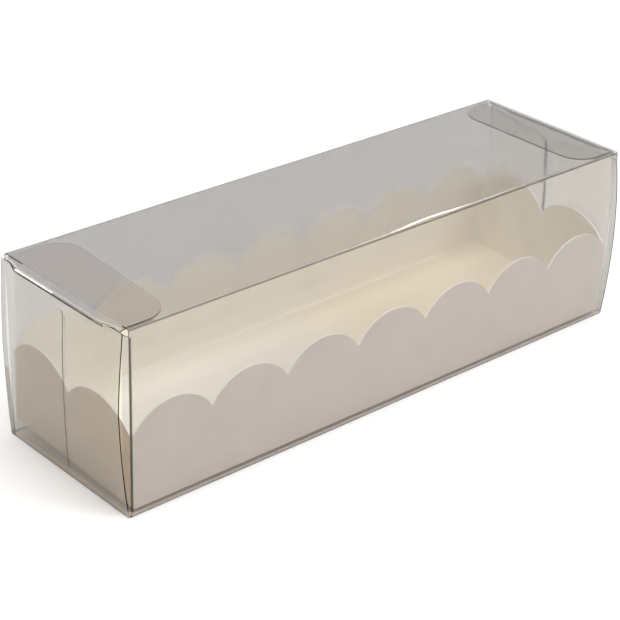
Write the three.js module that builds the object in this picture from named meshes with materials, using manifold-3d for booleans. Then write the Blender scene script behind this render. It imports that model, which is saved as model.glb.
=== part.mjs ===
// A clear folding box for a row of macarons: a film sleeve with four dust flaps, an end flap
// at each end, and a scalloped card tray inside. Millimetres, X along the box, Z up, with the
// origin in the middle of the base.
import * as THREE from "three";
import { mergeVertices } from "three/addons/utils/BufferGeometryUtils.js";
import Module from "manifold-3d";

// The box
const LENGTH = 167;
const WIDTH = 50;
const HEIGHT = 50.5;
const FILM = 0.3;
const FOLD_RADIUS = 0.8; // outside of a fold in the film
const GAP = 0.3; // between neighbouring pieces
const STAGGER = 0.02; // where two sheets are joined, so that their faces never coincide
const OVERLAP = 1.0; // length of such a joint, which a cut crosses in its middle

// The dust flaps, folded in at each end from the front and back walls
const DUST_REACH = 24.6; // from the outside of the wall to the free edge
const RELIEF = 1.0; // the flaps' folds start and stop this far from the base and the top
const DUST_FOOT = 1.2; // lower edge at the fold
const DUST_FOOT_RISE = 0.8;
const DUST_TOP = 48.2; // upper edge at the fold
const DUST_TOP_FALL = 3.0;
const DUST_CORNER = 2.0; // radius of the upper corner of the free edge
const DUST_SETBACK = 0.1; // its outer face lies this far inside the end of the top panel

// The end flaps, hinged on the lower edge of each end
const HINGE_HEIGHT = FILM / 2;
const HINGE_OUT = GAP + FILM / 2; // from the end of the sleeve to the middle of the film
const PANEL_TOP = 48.9;
const PANEL_FOOT_WIDTH = 49.2;
const PANEL_TOP_WIDTH = 47.6;
const TONGUE_LENGTH = 15.0;
const TONGUE_WIDTH = 46.0;
const TONGUE_CORNER = 8.0;
const TONGUE_ROOT = 1.0; // the crease's curve ends this far inwards of the hinge
const SLIT_START = 17.5; // the lock slits run along the crease from here to each side
const SLIT_WIDTH = 0.4;

// The card tray
const CARD = 0.45;
const TRAY_LENGTH = 165.1;
const TRAY_SHIFT = 0.2; // the tray sits this far right of the middle
const TRAY_WIDTH = 48.6;
const CARD_FOLD = 0.7; // outside of a fold in the card
const CUSP_HEIGHT = 20.1; // between two scallops, above the underside of the floor
const SIDE_CREST = 26.8; // top of a scallop on the long walls
const END_CREST = 26.0; // top of a scallop on the end walls
const SIDE_SCALLOPS = 7;
const END_SCALLOPS = 2;
const SCALLOP_STEPS = 8;
const END_WALL_WIDTH = 46.8;
const END_WALL_TAPER = 0.6; // lost from each side of an end wall up to its cusps
const FRONT_LIFT = 1.0; // underside of the floor above the base

// The two ends, which the tray pushes out unequally
const LEFT = {
  direction: -1,
  panelTop: 1.7, // how far the end panel's crease stands out
  bowFront: 2.6, // how far the panel's front edge stands out at half its height
  bowBack: 2.0, // the same at its back edge
  bulge: 0.45, // the share of the panel's bow that the dust flaps follow
  leanMiddle: 0.8, // how far the top of the tray's end wall leans out in its middle
  leanSide: 0.1, // the same at its side edges
  backLift: 3.6, // underside of the tray's floor above the base at the back
};
const RIGHT = {
  direction: 1,
  panelTop: 1.9,
  bowFront: 3.3,
  bowBack: 2.6,
  bulge: 1.0,
  leanMiddle: 1.0,
  leanSide: 0.55,
  backLift: 5.0,
};

const wasm = await Module();
wasm.setup();

/** A closed mesh as a solid that can be joined and cut. */
function toSolid(geometry) {
  const bare = geometry.clone();
  bare.deleteAttribute("normal");
  bare.deleteAttribute("uv");
  const merged = mergeVertices(bare, 1e-4);
  return new wasm.Manifold(
    new wasm.Mesh({
      numProp: 3,
      vertProperties: merged.attributes.position.array,
      triVerts: new Uint32Array(merged.index.array),
    }),
  );
}

/** A solid's surface as geometry. */
function toGeometry(solid) {
  const mesh = solid.getMesh();
  const geometry = new THREE.BufferGeometry();
  geometry.setAttribute("position", new THREE.BufferAttribute(mesh.vertProperties, 3));
  geometry.setIndex(new THREE.BufferAttribute(mesh.triVerts, 1));
  return geometry;
}

/** Joins closed pieces and cuts others from them. */
function shaped(pieces, cuts) {
  let solid = toSolid(pieces[0]);
  for (const piece of pieces.slice(1)) solid = solid.add(toSolid(piece));
  for (const cut of cuts) solid = solid.subtract(toSolid(cut));
  return toGeometry(solid);
}

/** A block between two opposite corners, for cuts. */
function block(one, other) {
  const low = one.clone().min(other);
  const high = one.clone().max(other);
  const size = new THREE.Vector3().subVectors(high, low);
  const middle = new THREE.Vector3().addVectors(low, high).multiplyScalar(0.5);
  const geometry = new THREE.BoxGeometry(size.x, size.y, size.z);
  return geometry.translate(middle.x, middle.y, middle.z);
}

/**
 * A closed sheet of even thickness about a surface, which is given as rows of points.
 * Its first face looks the way that (next row) x (next column) points.
 */
function sheet(grid, thickness) {
  const rows = grid.length;
  const columns = grid[0].length;
  const positions = [];
  const index = [];
  const at = (i, j) => grid[Math.min(Math.max(i, 0), rows - 1)][Math.min(Math.max(j, 0), columns - 1)];
  for (const side of [1, -1]) {
    for (let i = 0; i < rows; i++) {
      for (let j = 0; j < columns; j++) {
        const down = new THREE.Vector3().subVectors(at(i + 1, j), at(i - 1, j));
        const across = new THREE.Vector3().subVectors(at(i, j + 1), at(i, j - 1));
        const normal = down.cross(across).normalize();
        const point = at(i, j).clone().addScaledVector(normal, (side * thickness) / 2);
        positions.push(point.x, point.y, point.z);
      }
    }
  }
  const face = (a, b, c, d) => index.push(a, b, c, a, c, d);
  const back = rows * columns;
  const id = (i, j) => i * columns + j;
  for (let i = 0; i < rows - 1; i++) {
    for (let j = 0; j < columns - 1; j++) {
      const corners = [id(i, j), id(i + 1, j), id(i + 1, j + 1), id(i, j + 1)];
      face(...corners);
      face(...corners.map((corner) => corner + back).reverse());
    }
    face(id(i, 0), id(i, 0) + back, id(i + 1, 0) + back, id(i + 1, 0));
    const last = columns - 1;
    face(id(i + 1, last), id(i + 1, last) + back, id(i, last) + back, id(i, last));
  }
  for (let j = 0; j < columns - 1; j++) {
    face(id(0, j + 1), id(0, j + 1) + back, id(0, j) + back, id(0, j));
    const last = rows - 1;
    face(id(last, j), id(last, j) + back, id(last, j + 1) + back, id(last, j + 1));
  }
  const geometry = new THREE.BufferGeometry();
  geometry.setAttribute("position", new THREE.Float32BufferAttribute(positions, 3));
  geometry.setIndex(index);
  return geometry;
}

/** Puts a piece drawn at the left end at the end where it belongs, with its faces outwards. */
function atEnd(end, geometry) {
  if (end.direction < 0) return geometry;
  geometry.scale(-1, 1, 1);
  const { array } = geometry.index;
  for (let i = 0; i < array.length; i += 3) {
    [array[i], array[i + 1]] = [array[i + 1], array[i]];
  }
  return geometry;
}

/** Even steps from 0 to 1. */
const steps = (count) => Array.from({ length: count + 1 }, (_, i) => i / count);
const { lerp } = THREE.MathUtils;

/** A rectangle with round corners, centred across and standing on y = low. */
function roundedRectangle(PathClass, width, low, high, radius) {
  const side = width / 2;
  const path = new PathClass();
  path.absarc(side - radius, low + radius, radius, -Math.PI / 2, 0, false);
  path.absarc(side - radius, high - radius, radius, 0, Math.PI / 2, false);
  path.absarc(-side + radius, high - radius, radius, Math.PI / 2, Math.PI, false);
  path.absarc(-side + radius, low + radius, radius, Math.PI, 1.5 * Math.PI, false);
  path.closePath();
  return path;
}

/** The middle line of an end panel, as (outwards, up) from the sleeve's lower edge. */
function panelCurve(end, y) {
  const bow = lerp(end.bowFront, end.bowBack, y / WIDTH + 0.5);
  const foot = new THREE.Vector2(HINGE_OUT, HINGE_HEIGHT);
  const top = new THREE.Vector2(end.panelTop, PANEL_TOP);
  const middle = new THREE.Vector2(bow, (foot.y + top.y) / 2);
  const pull = middle.multiplyScalar(2).addScaledVector(foot, -0.5).addScaledVector(top, -0.5);
  return new THREE.QuadraticBezierCurve(foot, pull, top);
}

/** How far the bulge of an end has grown at a place across it: 0 at the folds, 1 half way. */
function bulgeShare(y) {
  const across = Math.min(Math.abs(y) / (WIDTH / 2 - FOLD_RADIUS), 1);
  return Math.cos((across * Math.PI) / 2) ** 0.6;
}

/** A dust flap, drawn at the left end. side is -1 for the front wall's and 1 for the back's. */
function dustFlap(end, side) {
  const bend = FOLD_RADIUS - FILM / 2;
  const wall = -WIDTH / 2 + FILM / 2 + STAGGER;
  const plane = -LENGTH / 2 + DUST_SETBACK + FILM / 2;
  const reach = DUST_REACH - FOLD_RADIUS;
  const plan = new THREE.Path();
  plan.moveTo(plane + bend + OVERLAP, wall);
  plan.lineTo(plane + bend, wall);
  plan.absarc(plane + bend, wall + bend, bend, -Math.PI / 2, -Math.PI, true);
  const root = plan.getPoints(2).map((point) => ({ point, part: 0 }));
  const round = steps(4).map((t) => 1 - (DUST_CORNER / reach) * (1 - Math.sin((t * Math.PI) / 2)));
  const parts = [...steps(6).slice(1, -1).map((t) => t ** 1.5 * round[0]), ...round];
  const flat = parts.map((part) => ({
    point: new THREE.Vector2(plane, wall + bend + part * reach),
    part,
  }));
  const rows = [...root, ...flat].map(({ point, part }) => {
    const low = DUST_FOOT + DUST_FOOT_RISE * part;
    const fromEdge = Math.min((1 - part) * reach, DUST_CORNER);
    const corner = DUST_CORNER - Math.sqrt(DUST_CORNER ** 2 - (DUST_CORNER - fromEdge) ** 2);
    const high = DUST_TOP - DUST_TOP_FALL * part - corner;
    const heights = steps(8).map((t) => lerp(low, high, t));
    const y = -side * point.y;
    return heights.map((height) => {
      const upPanel = (height - HINGE_HEIGHT) / (PANEL_TOP - HINGE_HEIGHT);
      const panelOut = panelCurve(end, y).getPoint(upPanel).x;
      const against = -LENGTH / 2 - panelOut + FILM + GAP;
      const bulge = part > 0 ? end.bulge * bulgeShare(y) : 0;
      return new THREE.Vector3(lerp(point.x, against, bulge), y, height);
    });
  });
  if (side > 0) rows.reverse();
  return sheet(rows, FILM);
}

/** The sleeve: top, front, base and back in one length of film, with its four dust flaps. */
function sleeve() {
  const outline = roundedRectangle(THREE.Shape, WIDTH, 0, HEIGHT, FOLD_RADIUS);
  const inside = roundedRectangle(
    THREE.Path,
    WIDTH - 2 * FILM,
    FILM,
    HEIGHT - FILM,
    FOLD_RADIUS - FILM,
  );
  outline.holes.push(inside);
  const tube = new THREE.ExtrudeGeometry(outline, {
    depth: LENGTH,
    curveSegments: 6,
    bevelEnabled: false,
  });
  const along = new THREE.Matrix4().makeBasis(
    new THREE.Vector3(0, 1, 0),
    new THREE.Vector3(0, 0, 1),
    new THREE.Vector3(1, 0, 0),
  );
  tube.applyMatrix4(along).translate(-LENGTH / 2, 0, 0);

  const flaps = [];
  const reliefs = [];
  const foldStart = LENGTH / 2 - DUST_SETBACK - FOLD_RADIUS - OVERLAP / 2;
  for (const end of [LEFT, RIGHT]) {
    for (const side of [-1, 1]) {
      flaps.push(atEnd(end, dustFlap(end, side)));
      const near = new THREE.Vector3(-foldStart, side * (WIDTH / 2 - 2 * FILM), RELIEF);
      const far = new THREE.Vector3(-LENGTH, side * WIDTH, HEIGHT - RELIEF);
      reliefs.push(atEnd(end, block(near, far)));
    }
  }
  const cutTube = shaped([tube], reliefs);
  return shaped([cutTube, ...flaps], []);
}

/** An end flap: a bowed panel, a crease with a lock slit at each side, and a tuck tongue. */
function endFlap(end) {
  const hinge = new THREE.Vector2(HINGE_OUT, HINGE_HEIGHT);
  const rim = new THREE.Vector2(0, HEIGHT - FILM);
  const radius = rim.distanceTo(hinge) - GAP - FILM / 2;
  const onArc = (inwards) => {
    const turn = inwards / radius;
    return new THREE.Vector2(hinge.x - radius * Math.sin(turn), hinge.y + radius * Math.cos(turn));
  };
  const across = steps(4).map((t) => t - 0.5);
  const row = (point, width) =>
    across.map((part) => new THREE.Vector3(-LENGTH / 2 - point.x, part * width, point.y));

  const panel = steps(16).map((t) => {
    const width = lerp(PANEL_FOOT_WIDTH, PANEL_TOP_WIDTH, t);
    return across.map((part) => {
      const point = panelCurve(end, part * width).getPoint(t);
      return new THREE.Vector3(-LENGTH / 2 - point.x, part * width, point.y);
    });
  });
  const root = onArc(TONGUE_ROOT);
  const top = new THREE.Vector2(end.panelTop, PANEL_TOP);
  const corner = new THREE.Vector2(end.panelTop, root.y);
  const crease = new THREE.QuadraticBezierCurve(top, corner, root).getPoints(5).slice(1, -1);
  const roundStart = TONGUE_LENGTH - TONGUE_CORNER;
  const straight = steps(4).map((t) => onArc(lerp(TONGUE_ROOT, roundStart, t)));
  const rounded = steps(7)
    .slice(1)
    .map((t) => {
      const angle = (t * Math.PI) / 2;
      const lost = 2 * TONGUE_CORNER * (1 - Math.cos(angle));
      return row(onArc(roundStart + TONGUE_CORNER * Math.sin(angle)), TONGUE_WIDTH - lost);
    });
  const tongue = [...crease, ...straight].map((point) => row(point, TONGUE_WIDTH));
  const slits = [-1, 1].map((side) => {
    const low = PANEL_TOP + SLIT_WIDTH / 4;
    const inner = new THREE.Vector3(-LENGTH / 2 - WIDTH, side * SLIT_START, low);
    const outer = new THREE.Vector3(-LENGTH / 2 + WIDTH, side * WIDTH, low + SLIT_WIDTH);
    return block(inner, outer);
  });
  return atEnd(end, shaped([sheet([...panel, ...tongue, ...rounded], FILM)], slits));
}

/** Height of a scalloped edge at a distance along it, measured from the middle. */
function scallopEdge(distance, span, count, crest) {
  const pitch = span / count;
  const rise = crest - CUSP_HEIGHT;
  const radius = (rise ** 2 + (pitch / 2) ** 2) / (2 * rise);
  const cell = (((distance + span / 2) % pitch) + pitch) % pitch;
  const fromMiddle = cell - pitch / 2;
  return crest - radius + Math.sqrt(radius ** 2 - fromMiddle ** 2);
}

/** The tray's floor with its two long walls, before it is set in the sleeve. */
function channel() {
  const side = TRAY_WIDTH / 2 - CARD / 2;
  const bend = CARD_FOLD - CARD / 2;
  const floor = CARD / 2;
  const columns = steps(SIDE_SCALLOPS * SCALLOP_STEPS).map((t) => {
    const x = (t - 0.5) * TRAY_LENGTH;
    const edge = scallopEdge(x, TRAY_LENGTH, SIDE_SCALLOPS, SIDE_CREST);
    const section = new THREE.Path();
    section.moveTo(-side, edge);
    section.lineTo(-side, floor + bend);
    section.absarc(-side + bend, floor + bend, bend, Math.PI, 1.5 * Math.PI, false);
    section.lineTo(side - bend, floor);
    section.absarc(side - bend, floor + bend, bend, 1.5 * Math.PI, 2 * Math.PI, false);
    section.lineTo(side, edge);
    return section.getPoints(1).map((point) => new THREE.Vector3(x, point.x, point.y));
  });
  return sheet(columns, CARD);
}

/** The tray's left end wall, folded up from the floor. */
function endWall() {
  const outer = -TRAY_LENGTH / 2 + CARD / 2;
  const bend = CARD_FOLD - CARD / 2;
  const floor = CARD / 2 + STAGGER;
  const half = END_WALL_WIDTH / 2;
  const columns = steps(END_SCALLOPS * SCALLOP_STEPS).map((t) => {
    const y = (t - 0.5) * END_WALL_WIDTH;
    const edge = scallopEdge(y, END_WALL_WIDTH, END_SCALLOPS, END_CREST);
    const section = new THREE.Path();
    section.moveTo(outer + bend + OVERLAP, floor);
    section.lineTo(outer + bend, floor);
    section.absarc(outer + bend, floor + bend, bend, 1.5 * Math.PI, Math.PI, true);
    section.lineTo(outer, edge);
    return section.getPoints(1).map((point) => {
      const taper = 1 - (END_WALL_TAPER / half) * Math.min(point.y / CUSP_HEIGHT, 1);
      return new THREE.Vector3(point.x, y * taper, point.y);
    });
  });
  return sheet(columns, CARD);
}

/** The card tray, folded from one piece and set in the sleeve with its back edge raised. */
function tray() {
  const foldStart = TRAY_LENGTH / 2 - CARD_FOLD - OVERLAP / 2;
  const clear = END_WALL_WIDTH / 2 + GAP;
  const ends = [LEFT, RIGHT].map((end) => {
    const inner = new THREE.Vector3(-foldStart, -clear, -HEIGHT);
    const outer = new THREE.Vector3(-LENGTH, clear, HEIGHT);
    return atEnd(end, block(inner, outer));
  });
  const floor = shaped([channel()], ends);
  const geometry = shaped([floor, atEnd(LEFT, endWall()), atEnd(RIGHT, endWall())], []);
  const { position } = geometry.attributes;
  for (let i = 0; i < position.count; i++) {
    const point = new THREE.Vector3().fromBufferAttribute(position, i);
    const backLift = lerp(LEFT.backLift, RIGHT.backLift, point.x / TRAY_LENGTH + 0.5);
    const lift = lerp(FRONT_LIFT, backLift, point.y / TRAY_WIDTH + 0.5);
    const end = point.x < 0 ? LEFT : RIGHT;
    const inWall = Math.abs(point.y) < clear && Math.abs(point.x) > TRAY_LENGTH / 2 - CARD_FOLD;
    const height = inWall ? Math.max(point.z - CARD_FOLD, 0) / END_CREST : 0;
    const lean = height * lerp(end.leanSide, end.leanMiddle, bulgeShare(point.y));
    position.setXYZ(i, point.x + TRAY_SHIFT + end.direction * lean, point.y, point.z + lift);
  }
  return geometry;
}

/** A clear film finish, one for each piece. */
const film = () =>
  new THREE.MeshStandardMaterial({
    color: 0xdcdcdc,
    roughness: 0.08,
    metalness: 0,
    transparent: true,
    opacity: 0.3,
  });
const card = new THREE.MeshStandardMaterial({ color: 0xe8ddc8, roughness: 0.85, metalness: 0 });

function named(name, geometry, material) {
  const flat = geometry.index ? geometry.toNonIndexed() : geometry;
  flat.computeVertexNormals();
  const mesh = new THREE.Mesh(flat, material);
  mesh.name = name;
  return mesh;
}

const box = new THREE.Group();
box.add(named("sleeve", sleeve(), film()));
box.add(named("tray", tray(), card));
box.add(named("end_flap_left", endFlap(LEFT), film()));
box.add(named("end_flap_right", endFlap(RIGHT), film()));

export default box;
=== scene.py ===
"""A clear folding box for a row of macarons.

The box is a sleeve of clear film with four dust flaps folded in at its ends, an end flap at each
end that is hinged on the base and tucks in under the top, and a scalloped card tray inside.
Sizes are in millimetres, in the frame of the solids: X along the box, -Y out of its front wall
and Z up from the surface that it stands on.
"""

import logging
import math
from collections.abc import Callable, Sequence
from dataclasses import dataclass, field
from enum import Enum
from itertools import pairwise

import bmesh
import bpy
from mathutils import Matrix, Vector


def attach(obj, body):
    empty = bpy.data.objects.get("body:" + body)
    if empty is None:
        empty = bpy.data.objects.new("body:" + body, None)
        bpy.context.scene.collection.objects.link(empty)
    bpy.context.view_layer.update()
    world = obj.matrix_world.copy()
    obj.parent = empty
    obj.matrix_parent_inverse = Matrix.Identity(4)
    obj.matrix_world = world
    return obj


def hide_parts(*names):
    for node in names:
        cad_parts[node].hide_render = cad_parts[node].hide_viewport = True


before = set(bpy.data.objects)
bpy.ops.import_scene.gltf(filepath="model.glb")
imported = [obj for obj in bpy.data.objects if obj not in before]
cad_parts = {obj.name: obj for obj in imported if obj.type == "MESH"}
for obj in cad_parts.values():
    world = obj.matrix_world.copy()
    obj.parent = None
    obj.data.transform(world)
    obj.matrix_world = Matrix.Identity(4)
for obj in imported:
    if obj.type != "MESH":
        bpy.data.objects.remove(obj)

MM = 0.001
NEAR = 0.01
SHARP_DEGREES = 40.0
FLOOR_HALVES_IN_M = (0.0825, 0.0245)
Point = tuple[float, float]
Place = tuple[float, float, float]
Colour = tuple[float, float, float]
Stops = Sequence[tuple[float, Colour]]
Test = Callable[[Vector], bool]
log = logging.getLogger("macaron_box")


class End(Enum):
    """The two ends of the box, by the way they face along X."""

    LEFT = -1
    RIGHT = 1


class Side(Enum):
    """The long walls, by the way they face along Y."""

    FRONT = -1
    BACK = 1


class Axis(Enum):
    """The ways that a sheet can be pressed."""

    X = "X"
    Y = "Y"
    Z = "Z"


def mm(x: float, y: float, z: float) -> Vector:
    """A place or a move given in millimetres, in metres."""
    return Vector((x, y, z)) * MM


def blend(low: float, high: float, share: float) -> float:
    """The value that lies a share of the way from low to high."""
    return low + (high - low) * share


def even(count: int) -> list[float]:
    """Even steps from 0 to 1, both ends included."""
    return [step / count for step in range(count + 1)]


def quarter(centre: Point, radius: float, start: float, count: int) -> list[Point]:
    """Points along a quarter of a circle.

    Args:
        centre: The middle of the circle.
        radius: Its radius.
        start: The angle of the first point, in degrees.
        count: How many steps the quarter has. A negative number turns clockwise.

    Returns:
        The points, the first and the last included.
    """
    turn = math.copysign(90, count)
    angles = [math.radians(start + turn * share) for share in even(abs(count))]
    return [(centre[0] + radius * math.cos(a), centre[1] + radius * math.sin(a)) for a in angles]


def limited(value: float) -> float:
    """The value kept between 0 and 1."""
    return min(max(value, 0.0), 1.0)


def grey(level: float) -> Colour:
    """A colour that is as light in red as in green and blue."""
    return level, level, level


class Sheet:
    """A sheet that is drawn as one row of edges and folded up row by row in edit mode."""

    def __init__(self, name: str) -> None:
        """Names the sheet. Nothing is made before its first row is drawn."""
        self.name = name
        self.piece: bpy.types.Object

    def draw(self, row: Sequence[Vector]) -> None:
        """Starts the sheet with a row of edges, and leaves it selected.

        Args:
            row: The points of the row, in metres.
        """
        bpy.ops.object.select_all(action="DESELECT")
        bpy.ops.mesh.primitive_plane_add(size=MM, location=row[0])
        self.piece = bpy.context.object
        self.piece.name = self.piece.data.name = self.name
        bpy.ops.object.transform_apply(location=True, rotation=True, scale=True)
        bpy.ops.object.mode_set(mode="EDIT")
        bpy.ops.mesh.select_mode(type="VERT")
        bpy.ops.mesh.select_all(action="SELECT")
        bpy.ops.mesh.merge(type="CENTER")
        self.fold(row)
        bpy.ops.mesh.select_all(action="SELECT")

    def fold(self, path: Sequence[Vector]) -> None:
        """Draws the selected row out along a path.

        Args:
            path: Points in metres. Only the moves from one to the next count.
        """
        for here, there in pairwise(path):
            bpy.ops.mesh.extrude_region_move(TRANSFORM_OT_translate={"value": there - here})

    def widen(self, factors: Place, about: Vector) -> None:
        """Makes the selected row wider or narrower about a point."""
        bpy.ops.transform.resize(value=factors, center_override=about)

    def select(self, test: Test) -> None:
        """Selects the vertices that pass a test, with the edges and faces between them.

        Args:
            test: Takes a vertex's place in millimetres.
        """
        bpy.ops.mesh.select_all(action="DESELECT")
        shape = bmesh.from_edit_mesh(self.piece.data)
        for vertex in shape.verts:
            vertex.select = test(vertex.co / MM)
        shape.select_flush_mode()
        bmesh.update_edit_mesh(self.piece.data)

    def cut_away(self, test: Test) -> None:
        """Removes the faces whose every vertex passes a test."""
        self.select(test)
        bpy.ops.mesh.delete(type="FACE")

    def weld(self) -> None:
        """Merges the rows that meet and leaves edit mode."""
        bpy.ops.mesh.select_all(action="SELECT")
        bpy.ops.mesh.remove_doubles(threshold=NEAR * MM)
        bpy.ops.object.mode_set(mode="OBJECT")

    def modify(self, kind: str, **settings: object) -> None:
        """Adds a modifier, sets it and applies it.

        Args:
            kind: The modifier's type.
            **settings: Its settings by name.
        """
        bpy.ops.object.select_all(action="DESELECT")
        self.piece.select_set(True)
        bpy.context.view_layer.objects.active = self.piece
        modifier = self.piece.modifiers.new(kind.title(), kind)
        for key, value in settings.items():
            setattr(modifier, key, value)
        bpy.ops.object.modifier_apply(modifier=modifier.name)

    def press(self, axis: Axis, depth: Callable[[Vector], float]) -> None:
        """Presses the sheet along an axis, by a depth that depends on the place.

        Args:
            axis: The way it is pressed.
            depth: Takes a vertex's place and gives the depth, both in millimetres. All depths
                of one press have the same sign.
        """
        depths = [depth(vertex.co / MM) for vertex in self.piece.data.vertices]
        deepest = max(depths, key=abs)
        group = self.piece.vertex_groups.new(name="pressed")
        for index, value in enumerate(depths):
            group.add([index], max(value / deepest, 0.0), "REPLACE")
        self.modify(
            "DISPLACE", direction=axis.value, mid_level=0.0, strength=deepest * MM, vertex_group=group.name,
        )
        self.piece.vertex_groups.clear()

    def ripple(self, height: float, scale: float) -> None:
        """Gives the sheet the faint waves of real film.

        Args:
            height: From the lowest to the highest place of a wave, in millimetres.
            scale: How long the waves are, in millimetres.
        """
        waves = bpy.data.textures.new(self.name + "_waves", "CLOUDS")
        waves.noise_scale = scale * MM
        waves.noise_depth = 1
        self.modify(
            "DISPLACE", texture=waves, texture_coords="LOCAL", strength=height * MM, mid_level=0.5,
        )

    def thicken(self, thickness: float, finishes: Sequence["Finish"], offset: float = 0.0) -> None:
        """Gives the sheet its thickness and its finishes.

        Args:
            thickness: In millimetres.
            finishes: For the drawn face, the other face and the cut edge, in this order.
            offset: 1 puts the thickness on the drawn face's front, -1 behind it, 0 on both sides.
        """
        for finish in finishes:
            self.piece.data.materials.append(finish.material())
        self.modify(
            "SOLIDIFY", thickness=thickness * MM, offset=offset, use_even_offset=True,
            material_offset=1, material_offset_rim=2,
        )
        bpy.ops.object.mode_set(mode="EDIT")
        bpy.ops.mesh.select_all(action="SELECT")
        bpy.ops.mesh.normals_make_consistent(inside=False)
        bpy.ops.object.mode_set(mode="OBJECT")
        bpy.ops.object.shade_smooth_by_angle(angle=math.radians(SHARP_DEGREES))

    def coat(self, *coats: tuple["Finish", Test, "Finish | None"]) -> None:
        """Gives finishes to areas of the sheet, one after another.

        Args:
            *coats: For each area its finish, a test of a face's middle in millimetres, and the
                finish that a face has to have beforehand, or None where any will do.
        """
        slots = self.piece.data.materials
        for finish, test, over in coats:
            slots.append(finish.material())
            for face in self.piece.data.polygons:
                wanted = over is None or slots[face.material_index].name == over.name
                if wanted and test(face.center / MM):
                    face.material_index = len(slots) - 1


class Nodes:
    """The node tree of one material or of the world, built up node by node."""

    def __init__(self, tree: bpy.types.NodeTree) -> None:
        """Empties the tree."""
        self.tree = tree
        tree.nodes.clear()

    def add(self, kind: str, *values: object, **inputs: object) -> bpy.types.Node:
        """Adds a node and fills its inputs.

        Args:
            kind: The node's type, after ShaderNode.
            *values: Values, sockets or nodes for its inputs in their order. A node stands for
                its first output.
            **inputs: The same by the input's name, with _ for a blank, or the node's attributes.

        Returns:
            The new node.
        """
        node = self.tree.nodes.new("ShaderNode" + kind)
        entries = []
        for key, value in inputs.items():
            label = key.replace("_", " ")
            if hasattr(node, key) and label not in node.inputs:
                setattr(node, key, value)
            else:
                entries.append((node.inputs[label], value))
        for entry, value in (*entries, *zip(node.inputs, values)):
            source = value.outputs[0] if isinstance(value, bpy.types.Node) else value
            if isinstance(source, bpy.types.NodeSocket):
                self.tree.links.new(source, entry)
            else:
                entry.default_value = source
        return node

    def ramp(self, factor: bpy.types.Node, stops: Stops) -> bpy.types.Node:
        """Adds a colour that follows a number.

        Args:
            factor: The number's node.
            stops: Places from 0 to 1 with their colours.

        Returns:
            The colour's node.
        """
        node = self.add("ValToRGB", Fac=factor)
        while len(node.color_ramp.elements) < len(stops):
            node.color_ramp.elements.new(0.5)
        for element, (place, colour) in zip(node.color_ramp.elements, stops):
            element.position = place
            element.color = (*colour, 1.0)
        return node


UNCHANGED: Stops = ((0.0, grey(1.0)), (1.0, grey(1.0)))


@dataclass(frozen=True)
class Finish:
    """What every finish has: a name, and a material that is made once."""

    name: str

    def material(self) -> bpy.types.Material:
        """Makes the material on first use.

        Returns:
            The finish's material, the same one each time.
        """
        made = bpy.data.materials.get(self.name)
        if made is None:
            made = bpy.data.materials.new(self.name)
            made.use_nodes = True
            self.dress(Nodes(made.node_tree))
        return made

    def dress(self, nodes: Nodes) -> None:
        """Builds the node tree."""
        raise NotImplementedError


@dataclass(frozen=True)
class ClearFilm(Finish):
    """Clear film with a light grey tint, hairline scratches and a trace of haze.

    Attributes:
        tint: The colour that it lets through.
        shade: The light that each of its two faces leaves in its shadow.
        haze: Roughness, from its clearest to its haziest place.
        index: Index of refraction.
    """

    tint: Colour = grey(0.93)
    shade: Colour = grey(0.9)
    haze: Point = (0.01, 0.05)
    index: float = 1.5

    def dress(self, nodes: Nodes) -> None:
        """Builds a refracting film that lets lamps shine through.

        Args:
            nodes: The material's empty tree.
        """
        place = nodes.add("TexCoord").outputs["Object"]
        clouds = nodes.add("TexNoise", Vector=place, Scale=55.0, Detail=3.0, Roughness=0.55)
        dull = tuple(channel * 0.985 for channel in self.tint)
        colour = nodes.ramp(clouds, [(0.3, self.tint), (0.75, dull)])
        clear, hazy = self.haze
        haze = nodes.add("MapRange", Value=clouds, To_Min=clear, To_Max=hazy)
        stretch = nodes.add("Mapping", Vector=place, Scale=(60.0, 900.0, 900.0))
        hairlines = nodes.add("TexNoise", Vector=stretch, Scale=1.0, Detail=2.0)
        bump = nodes.add("Bump", Height=hairlines, Strength=0.02, Distance=0.0001)
        film = nodes.add(
            "BsdfPrincipled", Base_Color=colour, Roughness=haze, Normal=bump, IOR=self.index,
            Transmission_Weight=1.0,
        )
        through = nodes.add("BsdfTransparent", Color=(*self.shade, 1.0))
        path = nodes.add("LightPath")
        rays = (path.outputs["Is Shadow Ray"], path.outputs["Is Diffuse Ray"])
        lamps = nodes.add("Math", *rays, operation="MAXIMUM")
        nodes.add("OutputMaterial", Surface=nodes.add("MixShader", lamps, film, through))


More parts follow.
